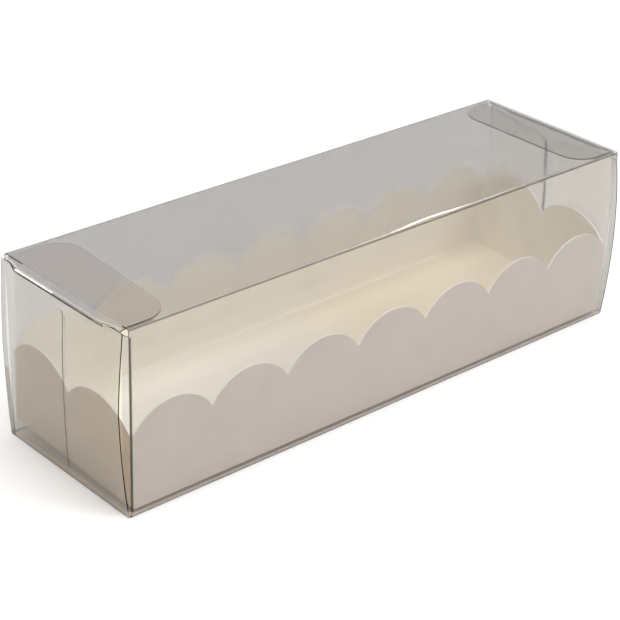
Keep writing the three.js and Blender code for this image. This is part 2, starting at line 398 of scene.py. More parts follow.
@dataclass(frozen=True)
class Card(Finish):
    """Uncoated card with short fibres and faint clouds.

    Attributes:
        tooth: Strength of the fibres' relief.
        streaks: Strength of the long light and dark streaks along X.
        painted_light_along: Painted light and shade, what the colour is multiplied by along X, as colours at
            shares of the tray's floor.
        painted_light_across: The same across, along Y.
    """

    light: Colour = (0.8, 0.75, 0.65)
    dark: Colour = (0.72, 0.67, 0.57)
    tooth: float = 0.05
    streaks: float = 0.0
    painted_light_along: Stops = UNCHANGED
    painted_light_across: Stops = UNCHANGED

    def dress(self, nodes: Nodes) -> None:
        """Builds clouds for the colour, and fibres for the colour and the relief.

        Args:
            nodes: The material's empty tree.
        """
        place = nodes.add("TexCoord").outputs["Object"]
        clouds = nodes.add("TexNoise", Vector=place, Scale=90.0, Detail=4.0, Roughness=0.6)
        stretch = nodes.add("Mapping", Vector=place, Scale=(500.0, 600.0, 1800.0))
        fibres = nodes.add("TexNoise", Vector=stretch, Scale=1.0, Detail=3.0)
        both = nodes.add("Math", fibres, 0.2, clouds, operation="MULTIPLY_ADD")
        roll = nodes.add("Mapping", Vector=place, Scale=(4.0, 160.0, 160.0))
        rolled = nodes.add("TexNoise", Vector=roll, Scale=1.0, Detail=1.0)
        value = nodes.add("Math", rolled, self.streaks, both, operation="MULTIPLY_ADD")
        darkest, lightest = (at + 0.5 * self.streaks for at in (0.38, 0.78))
        colour = nodes.ramp(value, [(darkest, self.dark), (lightest, self.light)])
        parts = nodes.add("SeparateXYZ", Vector=place)
        # Painted light and shade along X and across Y, multiplied into the colour.
        for axis, half, stops in zip((Axis.X, Axis.Y), FLOOR_HALVES_IN_M, (self.painted_light_along, self.painted_light_across)):
            share = nodes.add("MapRange", Value=parts.outputs[axis.value], From_Min=-half, From_Max=half)
            colour = nodes.add("VectorMath", colour, nodes.ramp(share, stops), operation="MULTIPLY")
        bump = nodes.add("Bump", Height=fibres, Strength=self.tooth, Distance=0.0001)
        rough = nodes.add("MapRange", Value=clouds, To_Min=0.75, To_Max=0.92)
        board = nodes.add(
            "BsdfPrincipled", Base_Color=colour, Roughness=rough, Normal=bump, Specular_IOR_Level=0.25,
        )
        nodes.add("OutputMaterial", Surface=board)


@dataclass(frozen=True)
class Matt(Finish):
    """A matt surface with clouds in it: cut film, a painted highlight on a crease, and the floor's paper."""

    light: Colour
    dark: Colour
    scale: float = 400.0
    roughness: float = 0.5
    gloss: float = 0.5

    def dress(self, nodes: Nodes) -> None:
        """Builds clouds for the colour.

        Args:
            nodes: The material's empty tree.
        """
        place = nodes.add("TexCoord").outputs["Object"]
        clouds = nodes.add("TexNoise", Vector=place, Scale=self.scale)
        colour = nodes.ramp(clouds, [(0.3, self.dark), (0.7, self.light)])
        matt = nodes.add(
            "BsdfPrincipled", Base_Color=colour, Roughness=self.roughness, Specular_IOR_Level=self.gloss,
        )
        nodes.add("OutputMaterial", Surface=matt)


SLEEVE_FILM = ClearFilm("sleeve_film", tint=(0.685, 0.672, 0.668), haze=(0.03, 0.08))
FLAP_FILM = ClearFilm("flap_film", tint=(0.92, 0.9, 0.87))
TOP_FILM = ClearFilm("top_film", tint=(0.67, 0.665, 0.665), haze=(0.08, 0.12))
WARM_LIT_BASE_FILM = ClearFilm("base_film_painted_reflection", tint=(0.98, 0.8, 0.6))
BASE_FOLD = ClearFilm("base_fold_film", tint=(0.77, 0.76, 0.74), haze=(0.1, 0.2), index=1.9)
DUST_SIDE = ClearFilm("dust_flap_side_film", tint=(0.76, 0.77, 0.79), index=1.46)
BACK_FOLD_SHADE = ClearFilm("corner_fold_painted_shade", tint=(0.66, 0.65, 0.645), haze=(0.06, 0.1), index=1.04)
PALE_TONGUE = ClearFilm("pale_tongue_film", tint=(0.99, 0.945, 0.92))
PANEL_FILM = ClearFilm("panel_film", tint=(0.69, 0.68, 0.665), haze=(0.06, 0.1), index=1.46)
ROOT_FILM = ClearFilm("tongue_root_film", tint=(0.62, 0.61, 0.63), haze=(0.08, 0.12), index=1.46)
DUST_FILM = ClearFilm("dust_flap_film", tint=(0.98, 0.955, 0.92), haze=(0.06, 0.1), index=1.46)
HAZY_DUST_FILM = ClearFilm("hazy_dust_flap_film", tint=(1.0, 0.99, 0.955), haze=(0.12, 0.17), index=1.46)
SHADED_PANEL_SIDE = ClearFilm("panel_side_painted_shade", tint=(0.49, 0.48, 0.465), index=1.46)
SHADED_PANEL_CORNER = ClearFilm("panel_corner_painted_shade", tint=(0.36, 0.33, 0.29), index=1.46)
# Darkened film as painted shade: the dark lines that folds, creases and cut edges show in the light.
DARK_SHADE_LINE = ClearFilm("dark_painted_shade_line", tint=(0.1, 0.095, 0.09), haze=(0.05, 0.15), index=1.15)
SOFT_SHADE_LINE = ClearFilm("soft_painted_shade_line", tint=(0.34, 0.32, 0.3), haze=(0.05, 0.15), index=1.15)
PALE_EDGE = Matt("frosted_film_edge", light=(0.66, 0.64, 0.62), dark=(0.58, 0.56, 0.54))
CREASE_GLINT = Matt("crease_painted_highlight", light=grey(1.0), dark=(0.72, 0.7, 0.67))
FILM_EDGE = ClearFilm("cut_film_edge", tint=(0.74, 0.72, 0.69), haze=(0.1, 0.3), index=1.15)
# The card finishes are copies of one board, lighter or darker by the light each place gets: the outside, the
# ends and the back edges are painted shade, the floor painted light and shade, the back fold a painted
# highlight.
SHADED_CARD_OUTSIDE = Card("card_outside_painted_shade", light=(0.665, 0.6, 0.53), dark=(0.615, 0.55, 0.48))
CARD_INSIDE = Card(
    "card_inside", light=(0.9, 0.855, 0.765), dark=(0.85, 0.8, 0.705), tooth=0.02, streaks=0.8,
)
LIT_CARD_FLOOR = Card(
    "card_floor_painted_light", light=(1.0, 0.97, 0.89), dark=(0.92, 0.88, 0.79), tooth=0.02, streaks=2.2,
    # Painted shade: darker and warmer to the right of the middle, where the end wall shades the floor.
    painted_light_along=(
        (0.0, grey(1.0)), (0.24, grey(1.0)), (0.46, (0.92, 0.905, 0.9)),
        (0.65, (0.925, 0.86, 0.74)), (1.0, (0.98, 0.93, 0.83)),
    ),
    # Painted light and shadow: a bright band across the floor, then the back wall's shadow near the back
    # fold.
    painted_light_across=(
        (0.0, grey(0.95)), (0.72, grey(0.95)), (0.8, (1.0, 1.0, 0.99)),
        (0.86, (1.0, 1.0, 0.99)), (0.93, grey(0.93)),
    ),
)
CARD_EDGE = Card("card_edge", light=(0.98, 0.95, 0.89), dark=(0.95, 0.92, 0.86))
SHADED_CARD_BACK_EDGE = Card("card_back_edge_painted_shade", light=(0.8, 0.76, 0.67), dark=(0.77, 0.73, 0.63))
LIT_CARD_FOLD = Card("card_fold_painted_highlight", light=(0.96, 0.92, 0.82), dark=(0.93, 0.88, 0.77))
SHADED_CARD_ENDS = Card("card_ends_painted_shade", light=(0.76, 0.59, 0.4), dark=(0.7, 0.54, 0.355))
PALE_FLOOR = Matt("pale_floor", light=grey(0.92), dark=grey(0.9), scale=3.0, roughness=0.9, gloss=0.1)


@dataclass
class Sleeve:
    """The sleeve of film: top, front, base and back, with two dust flaps at each end.

    Lengths are along X and sides along Y, both from the middle of the box. Heights are above the base.
    """

    half_length: float = 83.5
    half_width: float = 25.0
    height: float = 50.5
    film: float = 0.3
    fold: float = 0.8
    fold_top: float = 1.5
    fold_steps: int = 5
    columns: int = 36
    rows: int = 14
    flap_low: float = 1.2
    flap_high: float = 48.2
    flap_end_rise: float = 0.8
    flap_end_fall: float = 3.0
    flap_reach: float = 24.6
    flap_shortfall: float = 1.1
    flap_corner: float = 2.0
    flap_setback: float = 0.1
    flap_fold_steps: int = 4
    flap_steps: int = 10
    flap_corner_steps: int = 6
    bulge: dict[End, float] = field(default_factory=lambda: {End.LEFT: 1.0, End.RIGHT: 2.3})
    bulge_across: float = 0.6
    bulge_up: float = 0.8
    lip_place: float = 12.0
    lip_reach: float = 18.0
    lip_width: float = 3.8
    lip_rise: float = 0.22
    lip_rows: tuple[float, ...] = (0.008, 0.016, 0.026, 0.038, 0.052, 0.07, 0.09)
    wave_height: float = 0.12
    wave_length: float = 45.0
    skin: float = 0.6
    fold_strip_side: float = 22.0
    free_edge_sides: Point = (1.2, 2.1)
    pale_height: float = 44.5
    pale_sides: Point = (-22.5, 19.0)
    dark_rim_side: float = 20.0
    dark_foot: float = 2.0
    base_shade_top: float = 0.5
    corner_shade_turn: Point = (15.0, 80.0)
    top_shade_turn: Point = (20.0, 54.0)

    @property
    def flat(self) -> float:
        """The side up to which the top and the base are flat."""
        return self.half_width - self.fold

    @property
    def wall(self) -> float:
        """The side of the middle of a long wall's film."""
        return self.half_width - self.film / 2

    @property
    def bend(self) -> float:
        """Radius of a fold in the middle of the film."""
        return self.fold - self.film / 2

    @property
    def inner(self) -> float:
        """The length at which the dust flaps start to turn in."""
        return self.half_length - self.flap_setback - self.fold

    def build(self) -> bpy.types.Object:
        """Draws the sleeve round its section, folds in its dust flaps and gives it thickness.

        Returns:
            The finished piece.
        """
        sheet = Sheet("film_sleeve")
        wall, bend, inner, turn = self.wall, self.bend, self.inner, self.fold_steps
        side = wall - bend
        columns = [-self.half_length, *(inner * (2 * t - 1) for t in even(self.columns)), self.half_length]
        low, high = self.film / 2, self.height - self.film / 2
        section = [
            *((-wall, z) for z in self.wall_rows()),
            *quarter((-side, high - bend), bend, 180, -turn)[1:],
            *((blend(-side, side, t), high) for t in (*self.lip_rows, *even(self.rows)[2:])),
            *quarter((side, high - bend), bend, 90, -turn)[1:],
            *((wall, z) for z in reversed(self.wall_rows()[:-1])),
            *quarter((side, low + bend), bend, 0, -turn)[1:],
            *((blend(side, -side, t), low) for t in even(self.rows)[1:]),
            *quarter((-side, low + bend), bend, 270, -turn)[1:],
        ]
        sheet.draw([mm(x, *section[0]) for x in columns])
        sheet.fold([mm(0, y, z) for y, z in section])
        sheet.cut_away(lambda p: abs(p.x) > inner - NEAR and abs(p.y) > wall - NEAR
                       and self.flap_low - NEAR < p.z < self.flap_high + NEAR)
        for end in End:
            for hung in Side:
                self.fold_in(sheet, end, hung)
        sheet.weld()
        for end in End:
            sheet.press(Axis.X, lambda p, end=end: self.bulge_depth(end, p))
        sheet.press(Axis.Z, self.lip)
        sheet.ripple(self.wave_height, self.wave_length)
        sheet.thicken(self.film, [SLEEVE_FILM, SLEEVE_FILM, FILM_EDGE])
        self.finish_areas(sheet)
        return sheet.piece

    def finish_areas(self, sheet: Sheet) -> None:
        """Gives the flat areas, the cut edges and the folds their own finishes, among them painted shade on
        folds, corners and edges and painted light and reflection on the base.

        Args:
            sheet: The sleeve with its thickness.
        """
        strip = self.fold_strip_side
        sheet.coat(
            (DUST_SIDE, lambda p: self.is_dust_flap(p) and p.x < 0 and p.y < -strip, SLEEVE_FILM),
            (HAZY_DUST_FILM, lambda p: self.is_dust_flap(p) and p.x < 0, SLEEVE_FILM),
            (DUST_FILM, lambda p: self.is_dust_flap(p) and p.y <= strip, SLEEVE_FILM),
            # Painted shade: a darker film on the dust flaps' folds at the back.
            (BACK_FOLD_SHADE, self.is_back_corner, SLEEVE_FILM),
            (TOP_FILM, lambda p: p.z > self.height - self.skin and abs(p.y) < self.flat, SLEEVE_FILM),
            # Painted light and a painted reflection: a warm, light tint on the base, for light under the tray
            # and the card's reflection.
            (WARM_LIT_BASE_FILM, lambda p: p.z < self.skin and abs(p.y) < self.flat, SLEEVE_FILM),
            (PALE_EDGE, self.is_pale_edge, FILM_EDGE),
            (DARK_SHADE_LINE, self.is_corner_shaded, None),
            (SOFT_SHADE_LINE, self.is_top_fold_shaded, None),
            (BASE_FOLD, lambda p: abs(p.y) > self.flat and p.z < self.fold_top, None),
            # Painted shade: a dark line along the bottom of the base's folds, where the sleeve stands on the
            # floor.
            (DARK_SHADE_LINE, lambda p: p.z < self.base_shade_top, BASE_FOLD),
            # Painted shade: dark lines on the right dust flaps' cut edges and along the right back dust
            # flap's free edge.
            (DARK_SHADE_LINE, self.is_right_rim, FILM_EDGE),
            (DARK_SHADE_LINE, self.is_free_edge, DUST_FILM),
        )

    def lip(self, p: Vector) -> float:
        """How far the top rises just behind its front fold, right of the middle.

        Args:
            p: A vertex's place.

        Returns:
            The height that it is raised by.
        """
        along = (p.x - self.lip_place) / self.lip_reach
        across = (p.y + self.half_width) / self.lip_width
        if p.z < self.height - 1 or abs(along) > 1 or not 0 < across < 1:
            return 0.0
        return self.lip_rise * math.cos(along * math.pi / 2) ** 2 * math.sin(across * math.pi) ** 2

    def is_dust_flap(self, p: Vector) -> bool:
        """Whether a face belongs to a dust flap."""
        return (abs(p.x) > self.half_length - self.skin and abs(p.y) < self.flat
                and 1.0 < p.z < self.flap_high + 0.1)

    def is_back_corner(self, p: Vector) -> bool:
        """Whether a face lies on the fold of a dust flap at the back."""
        return abs(p.x) > self.half_length - self.fold and p.y > self.flat and 1 < p.z < self.flap_high

    def is_right_rim(self, p: Vector) -> bool:
        """Whether a cut edge belongs to a dust flap at the right."""
        return p.x > self.inner and abs(p.y) < self.dark_rim_side and self.dark_foot < p.z < self.flap_high

    def is_free_edge(self, p: Vector) -> bool:
        """Whether a face lies along the free edge of the right back dust flap."""
        low, high = self.free_edge_sides
        return p.x > 0 and low < p.y < high and self.dark_foot < p.z < self.flap_high

    def is_pale_edge(self, p: Vector) -> bool:
        """Whether a cut edge is one of the pale ones at the top of the left end."""
        low, high = self.pale_sides
        return p.x < -self.inner and p.z > self.pale_height and low < p.y < high

    def is_turned(self, up: float, out: float, turn: Point) -> bool:
        """Whether a point, so far past a fold's two faces, is within a turn given in degrees."""
        return turn[0] < math.degrees(math.atan2(up + self.fold, out + self.fold)) < turn[1]

    def is_corner_shaded(self, p: Vector) -> bool:
        """Whether a face lies on the fold at the front left corner, where a line of painted shade is put."""
        at_corner = -p.x >= self.half_length - 0.75 * self.fold and self.flap_low < p.z < self.flap_high
        return (at_corner and -p.y > self.flat
                and self.is_turned(-p.y - self.half_width, -p.x - self.half_length, self.corner_shade_turn))

    def is_top_fold_shaded(self, p: Vector) -> bool:
        """Whether a face lies on one of the top's long folds, where a line of painted shade is put."""
        up, out = p.z - self.height, abs(p.y) - self.half_width
        return abs(p.y) > self.flat and self.is_turned(up, out, self.top_shade_turn)

    def wall_rows(self) -> list[float]:
        """Heights of the rows of a long wall, from its lower fold to its upper one."""
        rows = [blend(self.flap_low, self.flap_high, t) for t in even(self.rows)]
        return [self.fold, rows[0], self.fold_top, *rows[1:], self.height - self.fold]

    def fold_in(self, sheet: Sheet, end: End, side: Side) -> None:
        """Folds one dust flap in from the end of a long wall.

        Args:
            sheet: The sleeve, in edit mode.
            end: The end it closes.
            side: The wall it hangs on.
        """
        inner, wall = end.value * self.inner, side.value * self.wall
        sheet.select(lambda p: abs(p.x - inner) < NEAR and abs(p.y - wall) < NEAR
                     and self.flap_low - NEAR < p.z < self.flap_high + NEAR)
        turn = quarter((self.inner, self.wall - self.bend), self.bend, 90, -self.flap_fold_steps)
        sheet.fold([mm(end.value * x, side.value * y, 0) for x, y in turn])
        reach = self.flap_reach - self.fold
        if end is End.RIGHT and side is Side.BACK:
            reach -= self.flap_shortfall
        flat = 1 - self.flap_corner / reach
        shares = [t * flat for t in even(self.flap_steps)]
        round_part = even(self.flap_corner_steps)[1:]
        shares += [1 - (1 - flat) * (1 - math.sin(t * math.pi / 2)) for t in round_part]
        for here, there in pairwise(shares):
            sheet.fold([mm(0, 0, 0), mm(0, -side.value * (there - here) * reach, 0)])
            (low, high), (new_low, new_high) = self.flap_span(here), self.flap_span(there)
            ratio = (new_high - new_low) / (high - low)
            still = (new_low - ratio * low) / (1 - ratio)
            sheet.widen((1, 1, ratio), mm(0, 0, still))

    def flap_span(self, share: float) -> Point:
        """The edges of a dust flap part of the way out.

        Args:
            share: The share of its reach.

        Returns:
            Its lowest and its highest point there.
        """
        reach = self.flap_reach - self.fold
        left = min((1 - share) * reach, self.flap_corner)
        corner = self.flap_corner - math.sqrt(self.flap_corner**2 - (self.flap_corner - left) ** 2)
        low = self.flap_low + self.flap_end_rise * share
        return low, self.flap_high - self.flap_end_fall * share - corner

    def bulge_depth(self, end: End, p: Vector) -> float:
        """How far a point of a dust flap bulges out.

        Args:
            end: The end whose dust flaps bulge.
            p: A vertex's place.

        Returns:
            The move along X, 0 away from this end's dust flaps.
        """
        root = self.half_length - self.flap_setback - self.fold / 2
        if p.x * end.value < root or abs(p.y) > self.flat:
            return 0.0
        across = math.cos(min(abs(p.y) / self.flat, 1) * math.pi / 2) ** self.bulge_across
        up = math.sin(math.pi * limited(p.z / self.height)) ** self.bulge_up
        return end.value * self.bulge[end] * across * up


@dataclass
class EndFlap:
    """An end flap: a bowed panel on the base's edge, a crease with lock slits, and a tongue.

    A bow or an out says how far a place stands out from the end of the sleeve, the bows half way up.
    """

    end: End
    bow_front: float
    bow_back: float
    top_out: float
    foot_out: float = 0.45
    foot_height: float = 0.15
    crease_height: float = 49.5
    crease_radius: float = 0.35
    crease_shade_reach: float = 0.1
    root_reach: float = -0.1
    slit_start: float = 17.2
    slit_tuck: float = 0.9
    tuck_width: float = 3.0
    tab_tuck: float = 0.0
    tab_rise: float = 1.0
    tab_reach: float = 20.0
    tab_start: float = 0.4
    tab_width: float = 1.5
    tab_curve: int = 8
    back_tab_share: float = 0.5
    foot_width: float = 49.2
    top_width: float = 47.6
    tongue_height: float = 49.95
    tongue_start: float = -0.4
    tongue_tip: float = 15.0
    tongue_skew: float = 0.0
    tongue_width: float = 46.4
    tongue_corner: float = 7.0
    half_length: float = 83.5
    film: float = 0.3
    steps: int = 24
    crease_steps: int = 3
    tongue_steps: int = 6
    corner_steps: int = 10
    wave_height: float = 0.15
    wave_length: float = 30.0
    edge_strip_side: float = 22.3
    shaded_corner_height: float = 21.0
    glint_side: float = 1.5
    crease_shade_finish: ClearFilm = DARK_SHADE_LINE

    def build(self) -> bpy.types.Object:
        """Draws the flap from its foot up the panel, over the crease and along the tongue.

        Returns:
            The finished piece.
        """
        sheet = Sheet(f"film_flap_{self.end.name.lower()}")
        rows = self.rows()
        (out, z), width = rows[0]
        sheet.draw([self.place(out, (t - 0.5) * width, z) for t in even(self.steps)])
        for ((out, z), width), ((next_out, next_z), next_width) in pairwise(rows):
            sheet.fold([self.place(out, 0, z), self.place(next_out, 0, next_z)])
            sheet.widen((1, next_width / width, 1), mm(0, 0, 0))
        sheet.cut_away(lambda p: abs(p.y) > self.slit_start - 0.05
                       and self.top_height - NEAR < p.z < self.crease_height + NEAR)
        sheet.weld()
        self.bend(sheet)
        sheet.ripple(self.wave_height, self.wave_length)
        sheet.thicken(self.film, [FLAP_FILM, FLAP_FILM, FILM_EDGE])
        self.finish_areas(sheet)
        return sheet.piece

    def bend(self, sheet: Sheet) -> None:
        """Gives the flap the bends that differ from its front to its back.

        Args:
            sheet: The flap without its thickness.
        """
        out = self.end.value
        change = self.bow_back - self.bow_front
        sheet.press(Axis.X, lambda p: out * change * self.bow_share(p.z) * (p.y / self.foot_width + 0.5)
                    if p.z < self.top_height else 0.0)
        sheet.press(Axis.X, lambda p: -out * self.tuck(p))
        if self.tab_tuck:
            sheet.press(Axis.X, lambda p: -out * self.tab_tuck * self.tab_share(p)
                        * (self.back_tab_share if p.y > 0 else 1.0))
            sheet.press(Axis.Z, lambda p: self.tab_rise * self.tab_share(p) ** self.tab_curve
                        if p.y > 0 else 0.0)
        if self.tongue_skew:
            sheet.press(Axis.X, lambda p: -out * self.skew_depth(p))

    def finish_areas(self, sheet: Sheet) -> None:
        """Gives the flap's areas, its crease and its tongue's rim their own finishes, with painted shade on
        the panels' strips, the crease and the tongue's rim, and a painted highlight on the left crease.

        Args:
            sheet: The flap with its thickness.
        """
        root, side = self.half_length - self.root_reach, self.edge_strip_side
        sheet.coat(
            (ROOT_FILM, lambda p: abs(p.x) > root and p.z > self.top_height, FLAP_FILM),
            # Painted shade: darker film on the panels' side strips and on the left panel's lower back corner.
            (SHADED_PANEL_CORNER, lambda p: p.z < self.shaded_corner_height and p.x < 0 and p.y > side, FLAP_FILM),
            (SHADED_PANEL_SIDE, lambda p: p.z < self.top_height and p.x * p.y < 0 and abs(p.y) > side, FLAP_FILM),
            (PANEL_FILM, lambda p: abs(p.x) > self.half_length + 0.1, FLAP_FILM),
            (PALE_TONGUE, lambda p: p.x < 0 and p.z > self.top_height, FLAP_FILM),
            (self.crease_shade_finish, self.is_crease_shaded, None),
            # Painted highlight: a broken white line on the back half of the left crease.
            (CREASE_GLINT, self.is_crease_glint, None),
            # Painted shade: the tongue's cut edges under the top are made dark.
            (DARK_SHADE_LINE, lambda p: abs(p.x) < self.half_length - 5, FILM_EDGE),
        )

    @property
    def top_height(self) -> float:
        """Where the panel ends and the crease begins."""
        return self.crease_height - self.crease_radius

    def tuck(self, p: Vector) -> float:
        """How far the tongue's corners beyond the lock slits are pulled in towards the sleeve.

        Args:
            p: A vertex's place.

        Returns:
            The move along X.
        """
        out = abs(p.x) - self.half_length
        if p.z < self.crease_height - 0.05 or out < 0:
            return 0.0
        beyond = limited((abs(p.y) - self.slit_start) / self.tuck_width)
        return self.slit_tuck * beyond * min(out / self.top_out, 1.0)

    def tab_share(self, p: Vector) -> float:
        """How far a point belongs to the panel's upper corners beyond the lock slits.

        Args:
            p: A vertex's place.

        Returns:
            From 0 for not at all to 1.
        """
        if abs(p.x) < self.half_length + 0.2 or p.z > self.top_height + NEAR:
            return 0.0
        beyond = limited((abs(p.y) - self.slit_start - self.tab_start) / self.tab_width)
        return beyond * limited(1 - (self.top_height - p.z) / self.tab_reach)

    def is_crease_shaded(self, p: Vector) -> bool:
        """Whether a face lies on the crease between the lock slits, where a line of painted shade is put."""
        at_crease = abs(p.x) - self.half_length > self.top_out - 0.6 and abs(p.y) <= self.slit_start + 0.8
        return at_crease and self.top_height - 1.1 * self.crease_shade_reach < p.z < self.crease_height - 0.1

    def is_crease_glint(self, p: Vector) -> bool:
        """Whether a face lies on the back half of the left flap's crease, where a white painted highlight is
        put.
        """
        on_top = abs(p.x) - self.half_length > self.top_out - 0.45 and p.z > self.crease_height - 0.1
        return on_top and p.x < 0 and self.glint_side < p.y < self.slit_start

    def place(self, out: float, y: float, z: float) -> Vector:
        """A point that stands so far out from the end of the sleeve."""
        return mm(self.end.value * (self.half_length + out), y, z)

    def bow_share(self, z: float) -> float:
        """How much of the panel's bow it has at a height: all of it half way up."""
        share = limited((z - self.foot_height) / (self.top_height - self.foot_height))
        return 4 * share * (1 - share)

    def skew_depth(self, p: Vector) -> float:
        """How much further in the tongue reaches towards its back corner.

        Args:
            p: A vertex's place.

        Returns:
            The move along X, 0 for a point of the panel.
        """
        inwards = self.half_length - abs(p.x)
        if p.z < self.top_height + 0.5 or inwards < 0:
            return 0.0
        return self.tongue_skew * (p.y / self.tongue_width + 0.5) * inwards / self.tongue_tip

    def rows(self) -> list[tuple[Point, float]]:
        """The flap's rows from foot to tip.

        Returns:
            For each row its place, as how far out and up it is, and its width.
        """
        panel = []
        tall = self.top_height - self.foot_height
        for share in (*even(self.steps)[:-1], 1 - 2 * self.crease_shade_reach / tall, 1.0):
            z = blend(self.foot_height, self.top_height, share)
            straight = blend(self.foot_out, self.top_out, share)
            bow = self.bow_front - (self.foot_out + self.top_out) / 2
            width = blend(self.foot_width, self.top_width, share)
            panel.append(((straight + bow * self.bow_share(z), z), width))
        bend, height = self.crease_radius, self.tongue_height
        start, round_start = self.tongue_start, -self.tongue_tip + self.tongue_corner
        tongue = [
            *quarter((self.top_out - bend, self.top_height), bend, 0, self.crease_steps)[1:],
            (self.top_out - bend - 0.5, blend(self.crease_height, height, 0.45)),
            *((blend(start, round_start, t), height) for t in even(self.tongue_steps)),
        ]
        rounded = []
        for share in even(self.corner_steps)[1:]:
            angle = share * math.pi / 2
            out = round_start - self.tongue_corner * math.sin(angle)
            lost = 2 * self.tongue_corner * (1 - math.cos(angle))
            rounded.append(((out, height), self.tongue_width - lost))
        return [*panel, *((place, self.tongue_width) for place in tongue), *rounded]


@dataclass
class Tray:
    """The card tray: a floor with two scalloped long walls and two scalloped end walls."""

    half_length: float = 82.55
    shift: float = 0.2
    half_width: float = 24.3
    card: float = 0.45
    fold: float = 0.7
    cusp: float = 20.1
    side_crest: float = 26.8
    end_crest: float = 26.0
    side_scallops: int = 7
    end_scallops: int = 2
    steps: int = 20
    end_width: float = 46.8
    front_lift: float = 1.5
    back_lift: dict[End, float] = field(default_factory=lambda: {End.LEFT: 4.0, End.RIGHT: 5.0})
    lean_middle: dict[End, float] = field(default_factory=lambda: {End.LEFT: 0.8, End.RIGHT: 1.0})
    lean_side: dict[End, float] = field(default_factory=lambda: {End.LEFT: 0.1, End.RIGHT: 0.9})
    lean_across: float = 0.6
    spread: float = 0.7
    spread_width: float = 1.5
    fold_steps: int = 4

    def build(self) -> bpy.types.Object:
        """Draws the tray from its front wall's top over the floor to its back wall's top.

        Returns:
            The finished piece.
        """
        sheet = Sheet("card_tray")
        count = self.side_scallops * self.steps
        columns = [self.half_length * (2 * t - 1) for t in even(count)]
        flat = self.half_width - self.fold
        floor_rows = [-flat, *((t - 0.5) * self.end_width for t in even(2 * self.steps)), flat]
        section = [
            *((-self.half_width, z) for z in self.heights),
            *quarter((-flat, self.fold), self.fold, 180, self.fold_steps)[1:],
            *((y, 0.0) for y in floor_rows[1:]),
            *quarter((flat, self.fold), self.fold, 270, self.fold_steps)[1:],
            *((self.half_width, z) for z in reversed(self.heights[:-1])),
        ]
        sheet.draw([mm(x, *section[0]) for x in columns])
        sheet.fold([mm(0, y, z) for y, z in section])
        for end in End:
            self.raise_end(sheet, end)
        sheet.weld()
        sheet.press(Axis.Z, self.scallop_rise)
        sheet.press(Axis.Z, self.lift)
        for end in End:
            sheet.press(Axis.X, lambda p, end=end: self.lean(end, p))
        sheet.press(Axis.X, lambda p: self.shift)
        sheet.press(Axis.Y, self.foot_spread)
        sheet.thicken(self.card, [CARD_INSIDE, SHADED_CARD_OUTSIDE, CARD_EDGE], offset=1.0)
        end_wall, end_side = self.half_length - 0.1, self.end_width / 2
        # Painted light and shade on copies of the card: a highlight on the back fold, light and shadow on the
        # floor, shade on the back wall's cut edges and on the end walls' outsides.
        sheet.coat(
            (LIT_CARD_FOLD, lambda p: p.y > flat - 0.1 and p.z < self.lift(p) + self.fold + 0.1, CARD_INSIDE),
            (LIT_CARD_FLOOR, lambda p: p.z < self.lift(p) + 0.6, CARD_INSIDE),
            (SHADED_CARD_BACK_EDGE, lambda p: p.y > flat, CARD_EDGE),
            (SHADED_CARD_ENDS, lambda p: abs(p.x - self.shift) > end_wall and abs(p.y) < end_side, SHADED_CARD_OUTSIDE),
        )
        return sheet.piece

    @property
    def heights(self) -> list[float]:
        """Heights of a wall's rows, from its cusps down to its fold."""
        return [self.cusp, 15.0, 10.0, 5.0, self.fold]

    def raise_end(self, sheet: Sheet, end: End) -> None:
        """Folds up one end wall from the end of the floor.

        Args:
            sheet: The tray, in edit mode.
            end: The end it stands at.
        """
        inner = self.half_length - self.fold
        sheet.select(lambda p: abs(p.x - end.value * self.half_length) < NEAR and abs(p.z) < NEAR
                     and abs(p.y) < self.end_width / 2 + NEAR)
        bpy.ops.transform.translate(value=mm(-end.value * self.fold, 0, 0))
        turn = quarter((inner, self.fold), self.fold, 270, self.fold_steps)
        sheet.fold([mm(end.value * x, 0, z) for x, z in turn])
        sheet.fold([mm(0, 0, z) for z in reversed(self.heights)])

    def scallop_rise(self, p: Vector) -> float:
        """How far a wall's point is drawn up by the scallop that it belongs to.

        Args:
            p: A vertex's place.

        Returns:
            The height that it is raised by.
        """
        if p.z < self.fold + NEAR:
            return 0.0
        up = p.z / self.cusp
        if abs(p.y) > self.half_width - NEAR:
            return up * self.arch(p.x, 2 * self.half_length, self.side_scallops, self.side_crest)
        return up * self.arch(p.y, self.end_width, self.end_scallops, self.end_crest)

    def arch(self, along: float, span: float, count: int, crest: float) -> float:
        """Height of a scalloped edge above its cusps.

        Args:
            along: Distance from the middle of the wall.
            span: Length of the wall.
            count: How many scallops it has.
            crest: Height of a scallop's top.

        Returns:
            The height, 0 at a cusp.
        """
        pitch = span / count
        rise = crest - self.cusp
        radius = (rise**2 + (pitch / 2) ** 2) / (2 * rise)
        cell = (along + span / 2) % pitch
        return max(rise - radius + math.sqrt(radius**2 - (cell - pitch / 2) ** 2), 0.0)

    def lift(self, p: Vector) -> float:
        """How far the floor is up from the base.

        Args:
            p: A place.

        Returns:
            The height of the floor's underside there.
        """
        share = limited(p.y / (2 * self.half_width) + 0.5)
        along = p.x / (2 * self.half_length) + 0.5
        back = blend(self.back_lift[End.LEFT], self.back_lift[End.RIGHT], along)
        return blend(self.front_lift, back, share)

    def foot_spread(self, p: Vector) -> float:
        """How far the left end wall's back edge stands out towards the corner, most at its foot.

        Args:
            p: A vertex's place.

        Returns:
            The move along Y.
        """
        edge = self.end_width / 2
        if p.x > -self.half_length + 1 or p.z < self.fold or not edge - self.spread_width < p.y < edge + NEAR:
            return 0.0
        share = (p.y - edge + self.spread_width) / self.spread_width
        return self.spread * share * limited(1 - (p.z - self.lift(p)) / self.end_crest)

